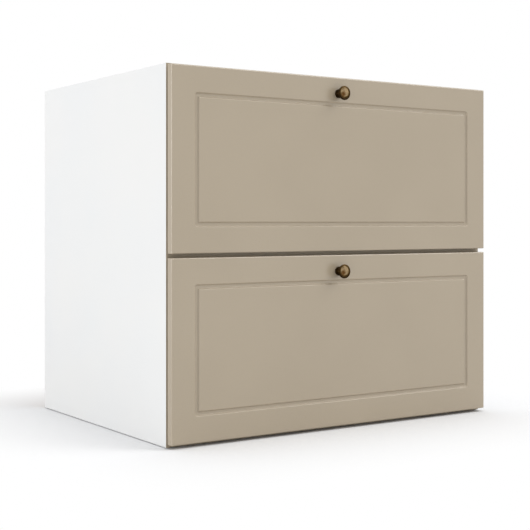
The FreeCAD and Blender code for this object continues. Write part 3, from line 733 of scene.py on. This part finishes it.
print("tools for shells ready")

# %% [markdown]
# ## The drawer fronts
# Each front is a 16 mm fibreboard panel with a rounded face edge and a groove that a round cutter
# leaves 50 mm in from the edge. Its cross section is one eased outline, from the back, over the
# edge and through the groove to the field. Each point of it becomes a rounded rectangle. Outside
# the middle of the cutter's path the corners are round, and inside it they are sharp, just as a
# cutter makes them.

# %% Make the fronts
EDGE_ROUNDING = 2.5 * MM
BACK_ROUNDING = 0.5 * MM
GROOVE_MARGIN = 50 * MM
GROOVE_WIDTH = 10 * MM
GROOVE_DEPTH = 3 * MM
GROOVE_WALL = 2.6 * MM
RIM_ROUNDING = 1.1 * MM
FLOOR_ROUNDING = 0.8 * MM
OUTLINE_CORNER = 1.2 * MM
SHARP_CORNER = 0.05 * MM
CORNER_STEPS = 5
FACING_BACK = 0.9


def front_section(thickness):
    """The front's section as (inset from the edge, height above the back)."""
    inner = GROOVE_MARGIN + GROOVE_WIDTH
    low = thickness - GROOVE_DEPTH
    return eased([
        (2 * BACK_ROUNDING, 0, 0),
        (0, 0, BACK_ROUNDING),
        (0, thickness, EDGE_ROUNDING),
        (GROOVE_MARGIN, thickness, RIM_ROUNDING),
        (GROOVE_MARGIN + GROOVE_WALL, low, FLOOR_ROUNDING),
        (inner - GROOVE_WALL, low, FLOOR_ROUNDING),
        (inner, thickness, RIM_ROUNDING),
        (inner + 2 * RIM_ROUNDING, thickness, 0),
    ])


def corner_radius(inset):
    """How round the corner of a ring is: a little at the outline, and as the cutter leaves it."""
    cutter_path = GROOVE_MARGIN + GROOVE_WIDTH / 2
    if inset < GROOVE_MARGIN / 2:
        return max(SHARP_CORNER, OUTLINE_CORNER - inset)
    return max(SHARP_CORNER, cutter_path - inset)


def rounded_rectangle(low, high, inset, depth):
    """A ring inside the panel's outline, with rounded corners."""
    radius = corner_radius(inset)
    reach = inset + radius
    centres = (
        (high.x - reach, high.z - reach),
        (low.x + reach, high.z - reach),
        (low.x + reach, low.z + reach),
        (high.x - reach, low.z + reach),
    )
    ring = []
    for quarter, (x, z) in enumerate(centres):
        for step in range(CORNER_STEPS + 1):
            angle = (quarter + step / CORNER_STEPS) * math.pi / 2
            ring.append((x + radius * math.cos(angle), depth, z + radius * math.sin(angle)))
    return ring


def make_front(drawer):
    """One drawer front with its groove; its back is faced with white melamine."""
    low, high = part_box(f"{drawer}_front")
    section = front_section(high.y - low.y)
    shell = bmesh.new()
    loft(shell, [rounded_rectangle(low, high, inset, high.y - rise) for inset, rise in section])
    mesh = finish_mesh(shell, f"{drawer}_drawer_front", [taupe_foil, front_backing])
    for face in mesh.polygons:
        face.material_index = 1 if face.normal.y > FACING_BACK else 0
    return stand_in(f"{drawer}_drawer_front", mesh, f"{drawer}_front")


for drawer in DRAWERS:
    front = make_front(drawer)
    print(front.name, len(front.data.polygons), "faces")

# %% [markdown]
# ## The knobs
# A knob is turned: a flanged foot, a waisted neck, and a wide head with a bead round a low domed
# face. A lathe works from half of the section, so the outline is drawn once, eased, and spun. Every
# radius is within the drawing's knob, so nothing grows.

# %% Turn the knobs
TURNED_STEPS = 72
AXIS_RADIUS = 0.02
KNOB_OUTLINE = (
    (AXIS_RADIUS, 0, 0),
    (9.25, 0, 0),
    (9.25, 3.4, 1.2),
    (7.0, 3.4, 0.3),
    (6.8, 5.0, 0.8),
    (5.2, 6.2, 2.0),
    (5.4, 11.4, 4.0),
    (13.4, 16.8, 0.8),
    (14.4, 17.8, 0.8),
    (14.4, 20.4, 1.1),
    (13.1, 21.5, 0.9),
    (11.6, 21.5, 0.9),
    (10.7, 20.3, 0.3),
    (10.1, 20.3, 0.2),
    (9.6, 20.8, 0.4),
    (AXIS_RADIUS, 21.2, 0),
)


def make_knob_mesh():
    """The turned knob, about its own axis, with its foot at the origin and its face towards -Y."""
    shell = bmesh.new()
    turns = [2 * math.pi * step / TURNED_STEPS for step in range(TURNED_STEPS)]
    loft(shell, [
        [(MM * r * math.cos(a), -MM * t, MM * r * math.sin(a)) for a in turns]
        for r, t in eased(KNOB_OUTLINE)
    ])
    return finish_mesh(shell, "turned_knob", [antique_brass])


knob_mesh = make_knob_mesh()
for drawer in DRAWERS:
    low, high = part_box(f"{drawer}_knob")
    middle = (low + high) / 2
    foot = (middle.x, high.y, middle.z)
    knob = stand_in(f"{drawer}_turned_knob", knob_mesh, f"{drawer}_knob", foot)
    print(knob.name, "at", [round(c, 4) for c in knob.location])

# %% [markdown]
# ## Dressing the drawn boards
# The boards keep the drawing's meshes, holes and grooves and all, and only get a finish. A saw and
# a band trimmer never leave a knife edge, so a bevel breaks each long edge by a hair, which catches
# the light. The rims of holes are made of many short edges, and a bevel there would fold the flat
# face over itself. So a small tree of geometry nodes marks only the long sharp edges, and the bevel
# follows the marks. All of these are modifiers, so the drawn mesh stays as it was.

# %% Dress the boards
BOARD_EDGE = 0.3 * MM
SAME_POINT = 0.001 * MM
LONG_EDGE = 10 * MM
BROKEN_ANGLE = math.radians(50)
BEVEL_STEPS = 2
CARCASS_FINISHES = {
    "left_side_panel": upright_board,
    "right_side_panel": upright_board,
    "bottom_panel": level_board,
    "front_top_rail": level_board,
    "rear_top_rail": level_board,
    "cross_rail": level_board,
    "back_panel": back_hardboard,
    # The band's taupe is painted shade in the gaps.
    "edge_bands": edge_band_painted_shade,
}
BOX_FINISHES = {
    "box_left_side": box_side_board,
    "box_right_side": box_side_board,
    "box_front": box_end_board,
    "box_back": box_end_board,
    "box_bottom": bottom_hardboard,
}


def mark_long_edges():
    """A small tree of nodes that marks the long sharp edges of a mesh for a bevel to follow."""
    tree = bpy.data.node_groups.new("long_edges", "GeometryNodeTree")
    for way in ("INPUT", "OUTPUT"):
        tree.interface.new_socket("Mesh", in_out=way, socket_type="NodeSocketGeometry")
    ends = tree.nodes.new("GeometryNodeInputMeshEdgeVertices").outputs
    inputs = {0: ends["Position 1"], 1: ends["Position 2"]}
    span = add(tree, "VectorMath", inputs, operation="DISTANCE")
    turn = tree.nodes.new("GeometryNodeInputMeshEdgeAngle").outputs["Unsigned Angle"]
    is_long = sum_up(tree, "GREATER_THAN", span.outputs["Value"], LONG_EDGE)
    is_sharp = sum_up(tree, "GREATER_THAN", turn, BROKEN_ANGLE)
    mark = tree.nodes.new("GeometryNodeStoreNamedAttribute")
    mark.domain = "EDGE"
    mark.inputs["Name"].default_value = "bevel_weight_edge"
    tree.links.new(sum_up(tree, "MULTIPLY", is_long, is_sharp), mark.inputs["Value"])
    tree.links.new(tree.nodes.new("NodeGroupInput").outputs[0], mark.inputs["Geometry"])
    tree.links.new(mark.outputs[0], tree.nodes.new("NodeGroupOutput").inputs[0])
    return tree


def soften(piece, width):
    """Break the long sharp edges of a drawn piece, with modifiers only."""
    weld = piece.modifiers.new("join_points", "WELD")
    weld.merge_threshold = SAME_POINT
    marks = piece.modifiers.new("long_edges", "NODES")
    marks.node_group = long_edges
    bevel = piece.modifiers.new("broken_edges", "BEVEL")
    bevel.width = width
    bevel.segments = BEVEL_STEPS
    bevel.limit_method = "WEIGHT"
    bevel.use_clamp_overlap = False
    keep_flats_even(piece)


def dress(name, finish, edge):
    """Give a drawn piece its finish and broken edges."""
    nodes[name].material_slots[0].material = finish
    soften(nodes[name], edge)


long_edges = mark_long_edges()
for name, finish in CARCASS_FINISHES.items():
    dress(name, finish, BOARD_EDGE)
for drawer in DRAWERS:
    for name, finish in BOX_FINISHES.items():
        dress(f"{drawer}_{name}", finish, BOARD_EDGE)
print(f"dressed {len(CARCASS_FINISHES)} carcass pieces and {2 * len(BOX_FINISHES)} box pieces")

# %% [markdown]
# ## The runners
# A full extension runner is three rolled steel channels, one inside the other, that run on balls in
# sheet metal cages. Steel that has been rolled has round bends, so the rails get a wider bevel than
# the boards. The cages are thin and only get their burr taken off. The balls are true spheres and
# need nothing more.

# %% Dress the runners
RAIL_BEND = 0.45 * MM
CAGE_EDGE = 0.15 * MM
for drawer in DRAWERS:
    for side in ("left", "right"):
        for rail in ("cabinet_rail", "middle_rail", "drawer_rail"):
            dress(f"{drawer}_{side}_{rail}", rail_steel, RAIL_BEND)
        for cage in ("outer_cage", "inner_cage"):
            dress(f"{drawer}_{side}_{cage}", rail_steel, CAGE_EDGE)
    for balls in ("outer_balls", "inner_balls"):
        nodes[f"{drawer}_{balls}"].material_slots[0].material = ball_steel
nodes["cam_bolts"].material_slots[0].material = zinc
print("dressed 12 rails, 8 cages, 4 sets of balls and the cam bolts")

# %% [markdown]
# ## Finding the small fittings
# The drawing keeps all screws of a kind in one piece, and draws them as plain rods. To remake them
# one by one, the lesson takes a copy of the mesh, joins its faces and walks from point to point,
# which gives each solid its own heap of points. From a heap come the axis, the length and the end
# with the head.

# %% Find separate fittings
Rod = namedtuple("Rod", "start direction length")
TOUCHING = 0.01 * MM


def heaps_of_points(name):
    """Points of each separate solid of a drawn piece."""
    shell = bmesh.new()
    shell.from_mesh(nodes[name].data)
    bmesh.ops.remove_doubles(shell, verts=shell.verts, dist=SAME_POINT)
    waiting = set(shell.verts)
    heaps = []
    while waiting:
        edge_of_walk = [waiting.pop()]
        heap = []
        while edge_of_walk:
            corner = edge_of_walk.pop()
            heap.append(corner.co.copy())
            neighbours = {edge.other_vert(corner) for edge in corner.link_edges} & waiting
            waiting -= neighbours
            edge_of_walk += neighbours
        heaps.append(heap)
    shell.free()
    return heaps


def measure_rod(points, axis):
    """A rod along one axis, starting at its wider end."""
    low = Vector([min(point[i] for point in points) for i in range(3)])
    high = Vector([max(point[i] for point in points) for i in range(3)])
    middle = (low + high) / 2

    def reach(end):
        across = [point - middle for point in points if abs(point[axis] - end) < TOUCHING]
        return max(math.sqrt(offset.length_squared - offset[axis] ** 2) for offset in across)

    wide_end, far_end = low[axis], high[axis]
    if reach(far_end) > reach(wide_end) + TOUCHING:
        wide_end, far_end = far_end, wide_end
    start = middle.copy()
    start[axis] = wide_end
    direction = Vector((0, 0, 0))
    direction[axis] = 1 if far_end > wide_end else -1
    return Rod(start, direction, abs(far_end - wide_end))


def rods_of(name, axis):
    """Every rod of a drawn piece."""
    return [measure_rod(points, axis) for points in heaps_of_points(name)]


print(len(rods_of("cabinet_rail_screws", X_AXIS)), "screws hold the cabinet rails")

# %% [markdown]
# ## Screws
# A wood screw has a flat countersunk head with a cross recess, a short plain neck, a thread and a
# point. All of it fits in one stack of rings: the recess is a ring in the shape of a cross, and on
# the thread each ring is pushed out where the helix passes, a little further round each time. The
# knob screws have a raised pan head and a finer thread. Modelling the recess keeps the heads from
# looking like rivets.

# %% Make the screws
RING_STEPS = 32
RING = [2 * math.pi * step / RING_STEPS for step in range(RING_STEPS)]
CROSS_ARM = math.tan(math.pi / 8)
NEARLY_ZERO = 1e-6
THREAD_ROWS = 5


def circle(radius):
    """A round ring."""
    return [radius] * RING_STEPS


def cross(reach):
    """A ring in the shape of a cross, for a screwdriver."""
    ring = []
    for angle in RING:
        short, long = sorted((abs(math.cos(angle)), abs(math.sin(angle))))
        ring.append(min(reach / long, reach * CROSS_ARM / max(short, NEARLY_ZERO)))
    return ring


def thread(start, end, root, crest, pitch):
    """Rings of a thread as (depth, radii), with its helix rising out of the shank."""
    rows = round((end - start) / pitch * THREAD_ROWS)
    for row in range(rows + 1):
        depth = start + (end - start) * row / rows
        fade = min(1.0, (depth - start) / pitch, (end - depth) / pitch)
        phases = [(depth / pitch - angle / (2 * math.pi)) % 1 for angle in RING]
        ridges = [max(0, 1 - abs(phase - 0.5) * 4) for phase in phases]
        yield depth, [root + fade * (crest - root) * ridge for ridge in ridges]


def wood_screw(length):
    """Rings of a countersunk wood screw, in millimetres from the face of its head."""
    yield 1.25, cross(0.9)
    yield 0.05, cross(1.9)
    yield 0.0, circle(3.3)
    yield 0.12, circle(3.48)
    yield 1.6, circle(1.9)
    yield 3.5, circle(1.5)
    yield from thread(4.0, length - 3.0, 1.35, 1.98, 1.8)
    yield length - 1.2, circle(0.7)
    yield length, circle(0.04)


def pan_screw(length):
    """Rings of a pan head machine screw."""
    yield 1.6, cross(0.9)
    yield 0.15, cross(2.1)
    yield 0.0, circle(2.5)
    yield 0.25, circle(3.3)
    yield 0.9, circle(3.85)
    yield 1.7, circle(4.0)
    yield 2.5, circle(3.95)
    yield 2.55, circle(1.95)
    yield length - 14.0, circle(1.95)
    yield from thread(length - 13.5, length - 0.5, 1.62, 1.98, 0.7)
    yield length, circle(1.3)


def add_turned(shell, rod, rings):
    """Loft rings of (depth, radii), in millimetres, along a rod."""
    across = rod.direction.orthogonal().normalized()
    up = rod.direction.cross(across)
    spokes = [math.cos(angle) * across + math.sin(angle) * up for angle in RING]
    loft(shell, [
        [
            rod.start + MM * (depth * rod.direction + radius * spoke)
            for spoke, radius in zip(spokes, radii)
        ]
        for depth, radii in rings
    ])


def remake(node, axis, name, finish, rings_for):
    """Remake every rod of a drawn piece from its own rings."""
    shell = bmesh.new()
    rods = rods_of(node, axis)
    for rod in rods:
        add_turned(shell, rod, rings_for(rod.length / MM))
    stand_in(name, finish_mesh(shell, name, [finish]), node)
    print(f"{name}: {len(rods)} pieces, {len(bpy.data.meshes[name].polygons)} faces")


remake("cabinet_rail_screws", X_AXIS, "rail_wood_screws", zinc, wood_screw)
for drawer in DRAWERS:
    remake(f"{drawer}_rail_screws", X_AXIS, f"{drawer}_runner_wood_screws", zinc, wood_screw)
    remake(f"{drawer}_box_screws", X_AXIS, f"{drawer}_corner_wood_screws", zinc, wood_screw)
    remake(f"{drawer}_front_screws", Y_AXIS, f"{drawer}_front_wood_screws", zinc, wood_screw)
    remake(f"{drawer}_knob_screw", Y_AXIS, f"{drawer}_pan_head_screw", zinc, pan_screw)

# %% [markdown]
# ## Dowels, cam locks and pads
# Beech dowels have pressed flutes that let the glue past and chamfered ends that find their holes.
# A cam lock is a cast disc with a cross recess in its face, let flush into the underside of a
# board. The pads behind the fronts are little domes. All of them are rods in the drawing, so the
# same tool remakes them.

# %% Make the dowels, cam locks and pads
DOWEL_RADIUS, FLUTE_DEPTH = 4.0, 0.35
PAD_RADIUS, PAD_CROWN, PAD_SKIRT = 4.48, 1.6, 0.15
DOME_STEPS = 6


def fluted_dowel(length):
    """Rings of a fluted dowel with chamfered ends."""
    flutes = [DOWEL_RADIUS - FLUTE_DEPTH * (step % 2) for step in range(RING_STEPS)]
    yield 0.0, circle(3.0)
    yield 1.0, flutes
    yield length - 1.0, flutes
    yield length, circle(3.0)


def cam_disc(length):
    """Rings of a cam lock, from the recess in its face to its rear edge."""
    yield 3.0, cross(2.2)
    yield 0.3, cross(4.2)
    yield 0.1, circle(6.2)
    yield 0.0, circle(6.5)
    yield 0.0, circle(7.0)
    yield 0.4, circle(7.45)
    yield length - 0.5, circle(7.45)
    yield length, circle(7.0)


def soft_dome(length):
    """Rings of a bumper pad, from its stuck side to its dome."""
    yield 0.0, circle(4.2)
    yield PAD_SKIRT, circle(PAD_RADIUS)
    for step in range(1, DOME_STEPS):
        angle = step / DOME_STEPS * math.pi / 2
        radius = PAD_CROWN + (PAD_RADIUS - PAD_CROWN) * math.cos(angle)
        yield PAD_SKIRT + (length - PAD_SKIRT) * math.sin(angle), circle(radius)
    yield length, circle(1.2)


remake("dowels", X_AXIS, "fluted_dowels", beech_wood, fluted_dowel)
remake("cam_locks", Z_AXIS, "cast_cam_locks", zinc, cam_disc)
for drawer in DRAWERS:
    remake(f"{drawer}_bumper_pads", Y_AXIS, f"{drawer}_soft_pads", pad_plastic, soft_dome)
